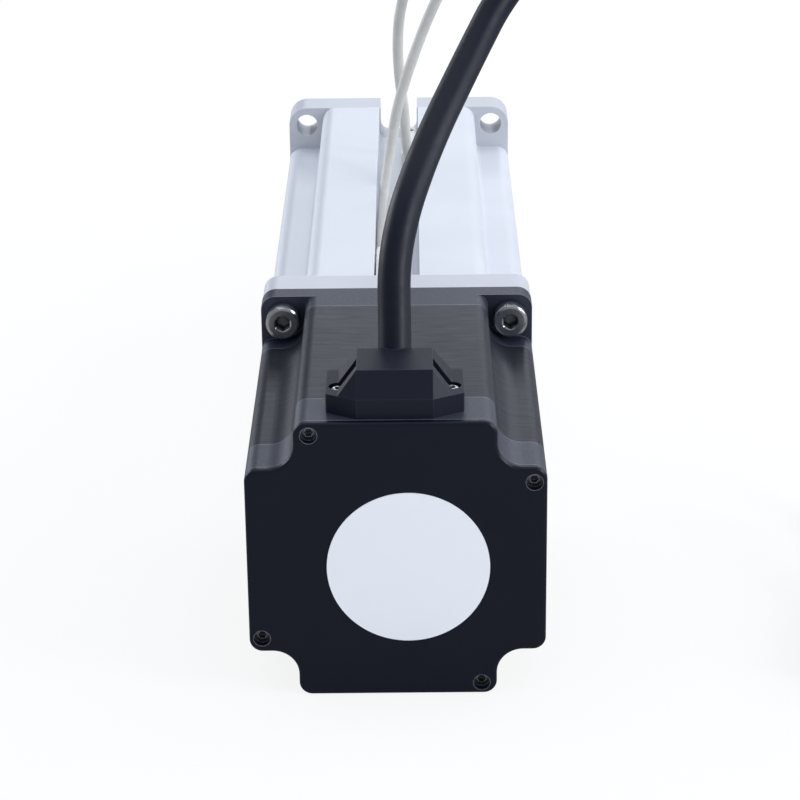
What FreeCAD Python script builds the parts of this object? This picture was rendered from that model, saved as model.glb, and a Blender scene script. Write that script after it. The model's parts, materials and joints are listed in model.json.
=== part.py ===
import FreeCAD, Part
import math
import os
from FreeCAD import Vector

# Electric cylinder: a square stepper motor turns a lead screw, and the screw's nut pushes a round
# rod out of an extruded barrel. Lengths are in millimetres.
# Frame: x to the right, y along the axis in the direction in which the rod comes out, z up.
# Origin: centre of the front flange's mounting face. The cylinder lies on its underside.

# Clearances
SLIP = 0.05            # radial gap of pieces that fit into each other and stay put
RUN = 0.08             # radial gap of pieces that slide or turn on each other
FREE = 0.3             # gap between pieces that must not touch

# Motor body
MOTOR_W = 56.4         # width over flats
NOTCH_DEPTH = 9.3      # of a corner notch, from the motor's sides
MOTOR_CORE = MOTOR_W - 2 * NOTCH_DEPTH   # width between the corner notches
NOTCH_R = 5.0          # root radius of a corner notch
EDGE_R = 2.5           # outer edges of the notched outline
COVER_T = 1.6
COVER_HOLE = 3.2
REAR_CAP_LEN = 10.7
STACK_LEN = 50.0
FRONT_CAP_LEN = 5.9
MOTOR_FLANGE_T = 4.6
MOTOR_CORNER_R = 3.0
PILOT_INSET = 9.15     # from the motor's sides to the pilot ring
PILOT_D = MOTOR_W - 2 * PILOT_INSET
PILOT_H = 1.6
BOLT_INSET = 4.63      # from the motor's sides to the middles of the bolt holes
BOLT_SQ = MOTOR_W - 2 * BOLT_INSET   # hole spacing of the motor flange and of the front flange
TIE_TO_NOTCH = 2.9     # from a tie rod to the notch beside it
TIE_INSET = 2.4        # from the motor's nearest side to a tie rod
TIE_NEAR, TIE_FAR = MOTOR_CORE / 2 - TIE_TO_NOTCH, MOTOR_W / 2 - TIE_INSET   # from the centre planes
TIE_D = 3.0
TIE_SUNK = 0.1         # from the cover to the end of a tie rod
LABEL_D, LABEL_T = 30.7, 0.2
LABEL_X, LABEL_Z = 2.2, -1.2

# Motor inside
STATOR_RIM = 3.7       # of the stack outside its slots, at the flats
POLE_LEN = 5.2         # from the slots' bottom to the stator's bore
STATOR_SLOT_D = MOTOR_W - 2 * STATOR_RIM
STATOR_BORE = STATOR_SLOT_D - 2 * POLE_LEN
POLES = 8
POLE_W = 6.0
TIP_T = 1.8            # thickness of a pole's tip
TIP_GAP = 3.0          # opening between two pole tips
WIRE_T = 3.0           # thickness of a winding beside its pole
ROTOR_TEETH = 50
TOOTH_H = 0.8
ROTOR_STACK_LEN = 21.0
ROTOR_MAGNET_T = 3.0
CAP_FLOOR = 1.0        # end wall of the rear cap, behind its bearing
CAP_WALL = 2.7         # wall of a cap round its bearing
CAP_SHOULDER = 2.0     # wall of the motor's flange in front of its bearing
WINDING_ROOM = 1.0     # from a winding's end to the bottom of the cap's channel
REAR_BRG = (10.0, 26.0, 8.0)     # bore, outside diameter, width
FRONT_BRG = (12.0, 28.0, 8.0)
BALL_D = 4.76
BALLS = 8
SPRING_T = 1.2
CIRCLIP_T = 1.2

# Screw
SCREW_D = 12.0
TIP_JOURNAL_D = 8.0
TIP_JOURNAL_LEN = 8.0
TIP_BUSH_LEN = 6.0
CLIP_T = 1.0
CLIP_DEPTH = 0.7
ROTOR_SEAT_D = 14.0
LOCK_NUT_D, LOCK_NUT_T = 19.0, 5.0
SCREW_REACH = 8.0      # screw thread beyond the nut when the rod is fully out

# Rod and what it carries
STROKE = 80.0
END_GAP = 1.2          # from the rod's carrier to a bumper at either end of the stroke
CARRIER_D = 32.4
CARRIER_LEN = 28.0
CARRIER_HUB = 5.0      # length of the carrier's front end, which holds the rod tube
NUT_D = 22.0
NUT_RING_T = 3.0
GUIDE_W, GUIDE_DEPTH = 6.0, 1.6
MAGNET_W, MAGNET_DEPTH = 4.0, 2.4
GROOVE_LAND = 2.5      # from the carrier's ends to the ring grooves
KEY_W, KEY_H = 6.0, 3.6
KEY_SCREW_D = 2.0
ROD_D = 20.0
ROD_BORE = 14.0
ROD_OUT = 8.6          # rod tube beyond the mounting face, rod in
ROD_END_LEN = 10.0
ROD_FLATS = 17.0
STUD_D, STUD_LEN = 10.0, 22.0
STUD_PITCH_D = 9.0     # at which the stud's thread and the lock nut's meet
ROD_NUT_T, ROD_NUT_FLATS = 5.0, 17.0
ROD_NUT_GAP = 2.0      # from the rod's end to the lock nut
ROD_NUT_LEAD = 0.5     # from the lock nut to the stud's free part
ROD_PLUG_LEN = 10.0
BUSH_WALL = 2.4
WIPER_D, WIPER_T = 28.0, 5.0

# Adapter plate, barrel and front flange
CYL_INSET = 0.1        # from the motor's sides to the cylinder's
CYL_W = MOTOR_W - 2 * CYL_INSET   # width of plate, barrel and flange
PLATE_T = 8.2
PLATE_CORNER_R = 3.0
BORE_D = CARRIER_D + 2 * FREE        # of the barrel
BUMPER_WALL = 4.5      # from the barrel's bore to the plate's bore and the rear bumper's
PLATE_BORE = BORE_D - 2 * BUMPER_WALL
PLATE_SPIGOT = 2.0
BUMPER_T = 2.0
FLANGE_T = 9.0
FLANGE_CORNER_R = 4.5
FLANGE_HOLE = 5.5
FLANGE_SLOT_W = 9.3
FLANGE_SPIGOT = 11.0
BARREL_LEN = PLATE_SPIGOT + FLANGE_SPIGOT + 2 * BUMPER_T + 2 * END_GAP + CARRIER_LEN + STROKE
PORT_D = 3.3
PORT_INSET = 1.8       # from the bore's outermost lines to the middles of the screw ports
PORT_SQ = BORE_D - 2 * PORT_INSET   # spacing of the screw ports in the barrel's ends
BAND_BESIDE_PORT = 4.7 # from a port to the side of a raised band
LEDGE_OVER_PORT = 2.8  # from a port to the ledge above it
BARREL_BAND_W = PORT_SQ + 2 * BAND_BESIDE_PORT   # of the raised bands at the top and the bottom
BARREL_LEDGE_H = PORT_SQ / 2 + LEDGE_OVER_PORT   # height of the ledges beside the bands, from the axis
BARREL_EDGE_R = 3.0
LEDGE_ROOT_R = 1.5
GROOVE_W = 9.8
GROOVE_DEPTH = 8.1
GROOVE_FLOOR = CYL_W / 2 - GROOVE_DEPTH   # height of the sensor groove's floor, from the axis
GROOVE_R = 2.0
KEYWAY_W, KEYWAY_DEPTH = 6.2, 2.5

# Screws
M4_D, M4_HEAD_D, M4_HEAD_H, M4_HEX = 4.0, 7.0, 4.0, 3.0
MOTOR_SCREW_LEN = 12.0
LOW_HEAD_H = 2.8
PLATE_SCREW_LEN = 12.0
FLANGE_SCREW_LEN = 16.0
HEAD_GAP = 0.2         # gap round a sunk screw head

# Cable gland on the motor
GLAND_Y = 1.8          # from the motor's rear face to the gland's rear edge
GLAND_W = 25.8
GLAND_BASE_H = 3.9
GLAND_H = 8.7
GLAND_TOP_W = 14.2
GLAND_TOP_START, GLAND_TOP_END = 2.9, 13.9   # of its flat top, from its rear edge
GLAND_SHOULDER = 3.4   # from its rear edge to where its sides run straight
GLAND_WING_LEN = 15.2
GLAND_SNOUT = 21.6     # length of the middle part
GLAND_RAMP_W = 21.2    # width over the sloping sides, at the base
GLAND_SLOPE = 30.0     # of its front, in degrees
GLAND_EDGE_R = 0.8
GLAND_SCREW_X, GLAND_SCREW_Y = 10.6, 6.9
GLAND_POCKET_D = 3.6
GLAND_POCKET_Z = 2.4
GLAND_SCREW_D, GLAND_SCREW_HEAD, GLAND_SCREW_HEAD_H = 2.0, 3.3, 1.2
GLAND_EXIT = 2.7       # from the flat top's front edge to the cord's hole, down the slope
GLAND_HOLE_DEPTH = 5.0
GLAND_HOLE_GAP = 0.2   # between the cord and its hole

# Sensors in the groove
SENSOR_LEN, SENSOR_W, SENSOR_H = 21.5, 3.8, 5.6
SENSOR_EDGE_R = 1.0
SENSOR_SCREW_D = 2.5
SENSOR_SCREW_Y = 3.0   # from the sensor's closed end
SENSOR_POINT_D, SENSOR_POINT_H = 0.4, 0.9   # end and height of the screw's cone point
REAR_SENSOR_Y = 4.4    # from the barrel's rear end to the rear sensor's closed end
FRONT_SENSOR_Y = 8.9   # from the barrel's front end to the front sensor's closed end

# Cords
MOTOR_CORD_D = 6.3
SENSOR_CORD_D = 2.5
BEND_SHARE = 0.45      # part of the shorter run beside a corner that its bend takes
PLUG_D, PLUG_LEN = 13.0, 26.0
PLUG_NECK_D, PLUG_NECK_LEN = 8.6, 6.0
# A cord's points, from its start: to the right, forwards and up.
# Heights of the falling part are above the level at which the cord's end rests.
MOTOR_CORD_RISE = [(0, 5.1, 8.8), (-0.1, 10.1, 18.8), (1.8, 15.7, 27.1), (4.9, 23.5, 33.8),
    (8.3, 33, 39.1), (12.5, 42.5, 45), (16.7, 51, 51), (21.4, 57.7, 58.3), (31.2, 63.6, 68.8)]
MOTOR_CORD_FALL = [(45.2, 66.1, 128.1), (60.8, 65.8, 128.5), (75.2, 64.1, 122.8), (86.1, 61.4, 112.1),
    (92.1, 58.9, 97.9), (92.2, 57.1, 77.5), (92.4, 56, 53), (92.2, 56.2, 28.9), (91.2, 49.5, 14.4),
    (89.8, 37.2, 4.1), (88.9, 21.7, 0), (88.9, 11.9, 0)]
REAR_CORD_X, REAR_CORD_Z = 1.7 - GROOVE_W / 2, GROOVE_FLOOR + 3.2
REAR_CORD_RISE = [(-0.4, 10.1, -0.6), (-0.4, 21.1, -0.3), (-0.2, 31.6, 1.4), (0.5, 40.1, 5.4),
    (1.7, 45.6, 11.8), (3.2, 48.1, 20.3), (6.5, 48.6, 30.8), (11, 47.9, 42.8)]
REAR_CORD_FALL = [(16.2, 45.6, 104), (25.2, 41.1, 114.5), (37.7, 34.6, 122), (52.2, 26.1, 126),
    (66.7, 16.6, 126.5), (79.2, 8.1, 122.5), (90.2, 0.6, 115), (95, -5.9, 98.5), (95.6, -12.1, 77),
    (95.4, -17.4, 55), (95, -20.4, 33), (94.7, -23.9, 13.9), (94.4, -30.9, 1.9), (94.2, -42.9, 0),
    (94.2, -54.9, 0)]
FRONT_CORD_X, FRONT_CORD_Z = GROOVE_W / 2 - 2.0, GROOVE_FLOOR + 3.4
FRONT_CORD_RISE = [(0.4, -6.3, 0), (0.1, -12, 3.2), (-1, -14.4, 9.1), (-1.2, -14.8, 16.6),
    (-2.4, -15.4, 25.6), (-2.7, -16, 34.6), (-1.9, -16.4, 42.6), (1.6, -18, 54.6)]
FRONT_CORD_FALL = [(9.6, -21, 117.5), (22.1, -26, 127), (37.6, -33.5, 131.9), (54.1, -43, 132.9),
    (69.1, -53.5, 128.4), (81.6, -63, 121), (88.6, -70.5, 105), (91.1, -77, 84.5), (91.3, -82.6, 61),
    (91.3, -86, 37), (91.3, -89.6, 15.9), (91.3, -98, 2.4), (91.3, -110.5, 0), (91.3, -123, 0)]

# Stations along y
FLANGE_REAR = -FLANGE_T
BARREL_REAR = FLANGE_REAR - BARREL_LEN
PLATE_REAR = BARREL_REAR - PLATE_T
MOTOR_FLANGE_REAR = PLATE_REAR - MOTOR_FLANGE_T
FRONT_CAP_REAR = MOTOR_FLANGE_REAR - FRONT_CAP_LEN
STACK_REAR = FRONT_CAP_REAR - STACK_LEN
REAR_CAP_REAR = STACK_REAR - REAR_CAP_LEN
MOTOR_REAR = REAR_CAP_REAR - COVER_T
SPIGOT_END = BARREL_REAR + PLATE_SPIGOT
FRONT_SPIGOT_END = FLANGE_REAR - FLANGE_SPIGOT
CARRIER_REAR = SPIGOT_END + BUMPER_T + END_GAP
CARRIER_FRONT = CARRIER_REAR + CARRIER_LEN
CARRIER_STEP = CARRIER_FRONT - CARRIER_HUB
GUIDE_REAR = CARRIER_FRONT - GROOVE_LAND - GUIDE_W
MAGNET_REAR = GUIDE_REAR - GROOVE_LAND - MAGNET_W
KEY_REAR = CARRIER_REAR + GROOVE_LAND
KEY_FRONT = MAGNET_REAR - GROOVE_LAND / 2
SCREW_END = CARRIER_STEP + STROKE + SCREW_REACH
REAR_BRG_REAR = REAR_CAP_REAR + CAP_FLOOR + SPRING_T
FRONT_BRG_FRONT = PLATE_REAR - CAP_SHOULDER
FRONT_BRG_REAR = FRONT_BRG_FRONT - FRONT_BRG[2]
STACK_MIDDLE = STACK_REAR + STACK_LEN / 2

# Heights
MOTOR_TOP = MOTOR_W / 2
REST_Z = -MOTOR_W / 2
KEY_TOP = FREE + KEY_H - BORE_D / 2 - KEYWAY_DEPTH


# Shapes

def at(x, y, z):
    return Vector(x, y, z)


def rod(d, y0, y1, x=0.0, z=0.0):
    """Round bar along y."""
    return Part.makeCylinder(d / 2, y1 - y0, at(x, y0, z), at(0, 1, 0))


def tube(outer_d, inner_d, y0, y1):
    return rod(outer_d, y0, y1).cut(rod(inner_d, y0, y1))


def post(d, z0, z1, x, y):
    """Round bar along z."""
    return Part.makeCylinder(d / 2, z1 - z0, at(x, y, z0))


def block(x0, x1, y0, y1, z0, z1):
    return Part.makeBox(x1 - x0, y1 - y0, z1 - z0, at(x0, y0, z0))


def polygon(points):
    return Part.Face(Part.makePolygon(points + points[:1]))


def turned(profile):
    """Solid of revolution about the axis, from (diameter, y) points."""
    return polygon([at(d / 2, y, 0) for d, y in profile]).revolve(at(0, 0, 0), at(0, 1, 0), 360)


def outline(corners, y):
    """Closed outline in the plane y, from (x, z, radius) corners, each rounded by its radius."""
    arcs = {}
    ends = []
    count = len(corners)
    for i, (x, z, r) in enumerate(corners):
        here = at(x, y, z)
        if r == 0:
            ends.append((here, here))
            continue
        back = (at(corners[i - 1][0], y, corners[i - 1][1]) - here).normalize()
        ahead = (at(corners[(i + 1) % count][0], y, corners[(i + 1) % count][1]) - here).normalize()
        half = back.getAngle(ahead) / 2
        start, end = here + back * (r / math.tan(half)), here + ahead * (r / math.tan(half))
        inward = (back + ahead).normalize()
        middle = here + inward * (r / math.sin(half) - r)
        arcs[i] = Part.Arc(start, middle, end).toShape()
        ends.append((start, end))
    wire = []
    for i in range(count):
        if i in arcs:
            wire.append(arcs[i])
        leave, arrive = ends[i][1], ends[(i + 1) % count][0]
        if leave.distanceToPoint(arrive) > 1e-6:
            wire.append(Part.LineSegment(leave, arrive).toShape())
    return Part.Wire(wire)


def bar(corners, y0, y1):
    """Straight bar along y with a rounded outline."""
    return Part.Face(outline(corners, y0)).extrude(at(0, y1 - y0, 0))


def square(width, r):
    h = width / 2
    return [(h, h, r), (h, -h, r), (-h, -h, r), (-h, h, r)]


def notched(width, core_x, core_z, edge_r, root_r):
    """Corners of a square with its four corners cut back to core_x and core_z."""
    h, a, b = width / 2, core_x / 2, core_z / 2
    return [(a, h, edge_r), (a, b, root_r), (h, b, edge_r),
            (h, -b, edge_r), (a, -b, root_r), (a, -h, edge_r),
            (-a, -h, edge_r), (-a, -b, root_r), (-h, -b, edge_r),
            (-h, b, edge_r), (-a, b, root_r), (-a, h, edge_r)]


def hexagon(flats, y0, y1, x=0.0, z=0.0):
    r = flats / math.sqrt(3)
    points = [at(x + r * math.cos(math.radians(a)), y0, z + r * math.sin(math.radians(a)))
              for a in range(0, 360, 60)]
    return polygon(points).extrude(at(0, y1 - y0, 0))


def spun(solid, turns):
    """The solid turned about the axis by part of a turn."""
    return solid.rotated(at(0, 0, 0), at(0, 1, 0), 360 * turns)


def corners_of(spacing):
    h = spacing / 2
    return [(sx * h, sz * h) for sx, sz in ((1, 1), (1, -1), (-1, -1), (-1, 1))]


def cut_all(solid, tools):
    return solid.cut(Part.makeCompound(list(tools)))


def save(name, *solids):
    shape = solids[0] if len(solids) == 1 else Part.makeCompound(list(solids))
    shape.exportStep("parts/" + name + ".step")


def cap_screw(x, z, seat, length, head_h, way):
    """Socket head screw along y. Its head's seat is at y = seat and it points along way."""
    top = seat - way * head_h
    socket_end = top + way * head_h * 0.55
    head = rod(M4_HEAD_D, min(seat, top), max(seat, top), x, z)
    rim = [e for e in head.Edges if abs(e.BoundBox.YMin - top) + abs(e.BoundBox.YMax - top) < 1e-6]
    head = head.makeFillet(head_h * 0.08, rim)
    end = seat + way * length
    shank = rod(M4_D, min(seat, end), max(seat, end), x, z)
    socket = hexagon(M4_HEX, min(top, socket_end), max(top, socket_end), x, z)
    return head.fuse(shank).cut(socket).removeSplitter()


# Motor

def motor_outline():
    return notched(MOTOR_W, MOTOR_CORE, MOTOR_CORE, EDGE_R, NOTCH_R)


def tie_places():
    """The four tie rods, each a quarter turn from the last."""
    x, z = -TIE_NEAR, TIE_FAR
    places = []
    for _ in range(4):
        places.append((x, z))
        x, z = z, -x
    return places


def tie_holes(y0, y1):
    return [rod(TIE_D + 2 * SLIP, y0, y1, x, z) for x, z in tie_places()]


def rear_cover():
    """Black plate over the motor's rear end, with four holes over the tie rods."""
    plate = bar(motor_outline(), MOTOR_REAR, REAR_CAP_REAR)
    rim = [e for e in plate.Edges if abs(e.BoundBox.YMax - MOTOR_REAR) < 1e-6]
    plate = plate.makeFillet(COVER_T * 0.45, rim)
    holes = [rod(COVER_HOLE, MOTOR_REAR, REAR_CAP_REAR, x, z) for x, z in tie_places()]
    save("rear_cover", cut_all(plate, holes))


def round_label():
    save("round_label", rod(LABEL_D, MOTOR_REAR - LABEL_T, MOTOR_REAR, LABEL_X, LABEL_Z))


def tie_rods():
    """Threaded rods that hold the motor's caps and stack together, each with a hexagon socket."""
    start, end = REAR_CAP_REAR + TIE_SUNK, MOTOR_FLANGE_REAR
    rods = []
    for x, z in tie_places():
        socket = hexagon(TIE_D / 2, start, start + TIE_D / 2, x, z)
        rods.append(rod(TIE_D, start, end, x, z).cut(socket))
    save("tie_rods", *rods)


def winding_channel(bearing_d, y0, y1):
    """Round channel in a cap, between the wall round the bearing and the cap's outer wall."""
    return tube(STATOR_SLOT_D + WINDING_ROOM, bearing_d + 2 * CAP_WALL, y0, y1)


def motor_rear_cap():
    """End cap with a bearing seat in its middle and a round channel for the windings."""
    cap = bar(motor_outline(), REAR_CAP_REAR, STACK_REAR)
    channel = winding_channel(REAR_BRG[1], STACK_REAR - WIRE_T - WINDING_ROOM, STACK_REAR)
    seat = rod(REAR_BRG[1] + 2 * SLIP, REAR_CAP_REAR + CAP_FLOOR, STACK_REAR)
    save("motor_rear_cap", cut_all(cap, [channel, seat] + tie_holes(REAR_CAP_REAR, STACK_REAR)))


def motor_front_cap():
    """Front cap with the square mounting flange, the pilot ring and the front bearing's seat."""
    clip_rear = FRONT_BRG_REAR - CIRCLIP_T
    cap = bar(motor_outline(), FRONT_CAP_REAR, MOTOR_FLANGE_REAR)
    flange = bar(square(MOTOR_W, MOTOR_CORNER_R), MOTOR_FLANGE_REAR, PLATE_REAR)
    pilot = rod(PILOT_D, PLATE_REAR, PLATE_REAR + PILOT_H)
    boss = rod(FRONT_BRG[1] + 2 * CAP_WALL, clip_rear, MOTOR_FLANGE_REAR)
    cap = cap.fuse([flange, pilot, boss]).removeSplitter()
    tools = [winding_channel(FRONT_BRG[1], FRONT_CAP_REAR, FRONT_CAP_REAR + WIRE_T + WINDING_ROOM),
             rod(FRONT_BRG[1] + 2 * SLIP, clip_rear, FRONT_BRG_FRONT),
             rod(LOCK_NUT_D + 4 * FREE, FRONT_BRG_FRONT, PLATE_REAR + PILOT_H)]
    tools += tie_holes(FRONT_CAP_REAR, MOTOR_FLANGE_REAR)
    for x, z in corners_of(BOLT_SQ):
        tools.append(rod(M4_D + 2 * SLIP, MOTOR_FLANGE_REAR, PLATE_REAR, x, z))
    save("motor_front_cap", cut_all(cap, tools))


def bearing(spec, y):
    """Outer ring, inner ring and balls of a ball bearing whose rear end is at y."""
    bore, outside, width = spec
    pitch = (bore + outside) / 2
    wall = (outside - bore - BALL_D * 1.15) / 4
    track = Part.makeTorus(pitch / 2, BALL_D / 2 + RUN, at(0, y + width / 2, 0), at(0, 1, 0))
    outer = tube(outside, outside - 2 * wall, y, y + width).cut(track)
    inner = tube(bore + 2 * wall, bore + 2 * SLIP, y, y + width).cut(track)
    ball = Part.makeSphere(BALL_D / 2, at(pitch / 2, y + width / 2, 0))
    return outer, inner, [spun(ball, i / BALLS) for i in range(BALLS)]


def motor_bearings():
    rear_outer, rear_inner, rear_balls = bearing(REAR_BRG, REAR_BRG_REAR)
    front_outer, front_inner, front_balls = bearing(FRONT_BRG, FRONT_BRG_REAR)
    save("bearing_outer_rings", rear_outer, front_outer)
    save("bearing_inner_rings", rear_inner, front_inner)
    save("bearing_balls", *(rear_balls + front_balls))


def bearing_holders():
    """Spring washer behind the rear bearing and circlip behind the front one."""
    outside = REAR_BRG[1] - 2 * FREE
    save("bearing_spring", tube(outside, outside - 5.4, REAR_BRG_REAR - SPRING_T, REAR_BRG_REAR))
    y = FRONT_BRG_REAR - CIRCLIP_T
    clip = tube(FRONT_BRG[1], FRONT_BRG[1] - 3.4, y, FRONT_BRG_REAR)
    save("bearing_circlip", clip.cut(block(-2.5, 2.5, y, FRONT_BRG_REAR, 0, FRONT_BRG[1])))


def stator_stack():
    """Laminated stack with eight poles that reach in to the rotor."""
    y0, y1 = STACK_REAR, FRONT_CAP_REAR
    neck = block(-POLE_W / 2, POLE_W / 2, y0, y1, STATOR_BORE / 2, STATOR_SLOT_D / 2 + 1)
    tip_half = math.pi * STATOR_BORE / POLES / 2 - TIP_GAP / 2
    tip = tube(STATOR_BORE + 2 * TIP_T, STATOR_BORE, y0, y1)
    tip = tip.common(block(-tip_half, tip_half, y0, y1, 0, STATOR_BORE))
    pole = neck.fuse(tip)
    poles = [spun(pole, i / POLES) for i in range(POLES)]
    slots = tube(STATOR_SLOT_D, STATOR_BORE, y0, y1).cut(Part.makeCompound(poles))
    stack = bar(motor_outline(), y0, y1)
    save("stator_stack", cut_all(stack, [slots, rod(STATOR_BORE, y0, y1)] + tie_holes(y0, y1)))


def stator_windings():
    """Eight coils, one round each pole."""
    y0, y1 = STACK_REAR, FRONT_CAP_REAR
    inner = STATOR_BORE / 2 + TIP_T + FREE
    outer = STATOR_SLOT_D / 2 - 2 * FREE
    pole = POLE_W / 2 + FREE / 2
    side = pole + WIRE_T
    coil = block(-side, side, y0 - WIRE_T, y1 + WIRE_T, inner, outer)
    ends = [e for e in coil.Edges if e.BoundBox.ZLength > outer - inner - 1e-6]
    coil = coil.makeFillet(WIRE_T * 0.9, ends).cut(block(-pole, pole, y0, y1, inner, outer))
    reach = 2 * outer
    spread = reach * math.tan(math.pi / POLES)
    sector = polygon([at(0, y0 - WIRE_T, FREE), at(-spread, y0 - WIRE_T, reach + FREE),
                      at(spread, y0 - WIRE_T, reach + FREE)]).extrude(at(0, y1 - y0 + 2 * WIRE_T, 0))
    coil = coil.common(sector).common(tube(2 * outer, 2 * inner, y0 - WIRE_T, y1 + WIRE_T))
    save("stator_windings", *[spun(coil, i / POLES) for i in range(POLES)])


def toothed_disc(y0, y1, turn):
    """Rotor stack with straight teeth. turn is in tooth pitches."""
    outer = STATOR_BORE / 2 - FREE
    root = outer - TOOTH_H
    pitch = 2 * math.pi / ROTOR_TEETH
    points = []
    for i in range(ROTOR_TEETH):
        for r, share in ((outer, -0.21), (outer, 0.21), (root, 0.27), (root, 0.73)):
            a = (i + turn + share) * pitch
            points.append(at(r * math.cos(a), y0, r * math.sin(a)))
    return polygon(points).extrude(at(0, y1 - y0, 0)).cut(rod(ROTOR_SEAT_D + 2 * SLIP, y0, y1))


def rotor():
    """Two toothed stacks, half a tooth apart, with a magnet between them."""
    a, b = STACK_MIDDLE - ROTOR_MAGNET_T / 2, STACK_MIDDLE + ROTOR_MAGNET_T / 2
    save("rotor_stacks", toothed_disc(a - ROTOR_STACK_LEN, a, 0),
         toothed_disc(b, b + ROTOR_STACK_LEN, 0.5))
    save("rotor_magnet", tube(STATOR_BORE - 4 * TOOTH_H, ROTOR_SEAT_D + 2 * SLIP, a, b))


def motor_screws():
    """Four socket head screws that hold the motor's flange to the adapter plate."""
    save("motor_screws", *[cap_screw(x, z, MOTOR_FLANGE_REAR, MOTOR_SCREW_LEN, M4_HEAD_H, 1)
                           for x, z in corners_of(BOLT_SQ)])


# Screw

def screw_shaft():
    """Motor shaft and lead screw in one piece."""
    rear_seat = REAR_BRG_REAR + REAR_BRG[2]
    groove = SCREW_END + TIP_BUSH_LEN
    tip = SCREW_END + TIP_JOURNAL_LEN
    floor_d = TIP_JOURNAL_D - 2 * CLIP_DEPTH
    save("screw_shaft", turned([
        (0, REAR_BRG_REAR), (REAR_BRG[0], REAR_BRG_REAR), (REAR_BRG[0], rear_seat),
        (ROTOR_SEAT_D, rear_seat), (ROTOR_SEAT_D, FRONT_BRG_REAR),
        (FRONT_BRG[0], FRONT_BRG_REAR), (FRONT_BRG[0], FRONT_BRG_FRONT),
        (SCREW_D, FRONT_BRG_FRONT), (SCREW_D, SCREW_END - 1), (SCREW_D - 2, SCREW_END),
        (TIP_JOURNAL_D, SCREW_END), (TIP_JOURNAL_D, groove), (floor_d, groove),
        (floor_d, groove + CLIP_T), (TIP_JOURNAL_D, groove + CLIP_T), (TIP_JOURNAL_D, tip - 0.5),
        (TIP_JOURNAL_D - 1, tip), (0, tip)]))


def bearing_lock_nut():
    """Round nut with four slots that holds the front bearing on the screw."""
    y0, y1 = FRONT_BRG_FRONT, FRONT_BRG_FRONT + LOCK_NUT_T
    slot = block(-1.6, 1.6, y0, y1, LOCK_NUT_D / 2 - 1.4, LOCK_NUT_D)
    nut = tube(LOCK_NUT_D, SCREW_D + 2 * SLIP, y0, y1)
    save("bearing_lock_nut", cut_all(nut, [spun(slot, i / 4) for i in range(4)]))


def screw_tip():
    """Bush that carries the screw's front end in the rod's bore, and the clip that holds it."""
    groove = SCREW_END + TIP_BUSH_LEN
    bore = TIP_JOURNAL_D + 2 * SLIP
    save("screw_tip_bush", tube(ROD_BORE - 2 * RUN, bore, SCREW_END, groove))
    floor_d = TIP_JOURNAL_D - 2 * CLIP_DEPTH
    clip = tube(TIP_JOURNAL_D + 3.6, floor_d, groove, groove + CLIP_T)
    mouth = floor_d / 2 - 0.4
    save("screw_tip_clip", clip.cut(block(-mouth, mouth, groove, groove + CLIP_T, 0, TIP_JOURNAL_D)))


# Plate, barrel and front flange

def adapter_plate():
    """Square plate between motor and barrel, with a short spigot into the barrel's bore."""
    seat = PLATE_REAR + PILOT_H + HEAD_GAP + FREE + LOW_HEAD_H
    plate = bar(square(CYL_W, PLATE_CORNER_R), PLATE_REAR, BARREL_REAR)
    plate = plate.fuse(rod(BORE_D - 2 * SLIP, BARREL_REAR, SPIGOT_END)).removeSplitter()
    tools = [rod(PILOT_D + 2 * SLIP, PLATE_REAR, PLATE_REAR + PILOT_H + HEAD_GAP),
             rod(PLATE_BORE, PLATE_REAR, SPIGOT_END)]
    for x, z in corners_of(BOLT_SQ):
        tools.append(rod(M4_D + 2 * SLIP, PLATE_REAR, BARREL_REAR, x, z))
    for x, z in corners_of(PORT_SQ):
        tools.append(rod(M4_HEAD_D + 2 * HEAD_GAP, PLATE_REAR, seat, x, z))
        tools.append(rod(M4_D + 2 * SLIP, PLATE_REAR, BARREL_REAR, x, z))
    save("adapter_plate", cut_all(plate, tools))
    save("plate_screws", *[cap_screw(x, z, seat, PLATE_SCREW_LEN, LOW_HEAD_H, 1)
                           for x, z in corners_of(PORT_SQ)])


def groove_outline(width):
    h = width / 2
    return [(h, CYL_W, 0), (h, GROOVE_FLOOR, GROOVE_R), (-h, GROOVE_FLOOR, GROOVE_R), (-h, CYL_W, 0)]


def barrel():
    """Extruded body: four raised bands, corner ledges, round bore, keyway and sensor groove."""
    y0, y1 = BARREL_REAR, FLANGE_REAR
    body = bar(notched(CYL_W, BARREL_BAND_W, 2 * BARREL_LEDGE_H, BARREL_EDGE_R, LEDGE_ROOT_R), y0, y1)
    tools = [rod(BORE_D, y0, y1),
             bar(groove_outline(GROOVE_W), y0, y1),
             block(-KEYWAY_W / 2, KEYWAY_W / 2, y0, y1, -BORE_D / 2 - KEYWAY_DEPTH, 0)]
    for x, z in corners_of(PORT_SQ):
        tools.append(rod(M4_D + 2 * SLIP, y0, y0 + PLATE_SCREW_LEN, x, z))
        tools.append(rod(M4_D + 2 * SLIP, y1 - FLANGE_SCREW_LEN, y1, x, z))
        tools.append(rod(PORT_D, y0, y1, x, z))
    save("barrel", cut_all(body, tools))


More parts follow.
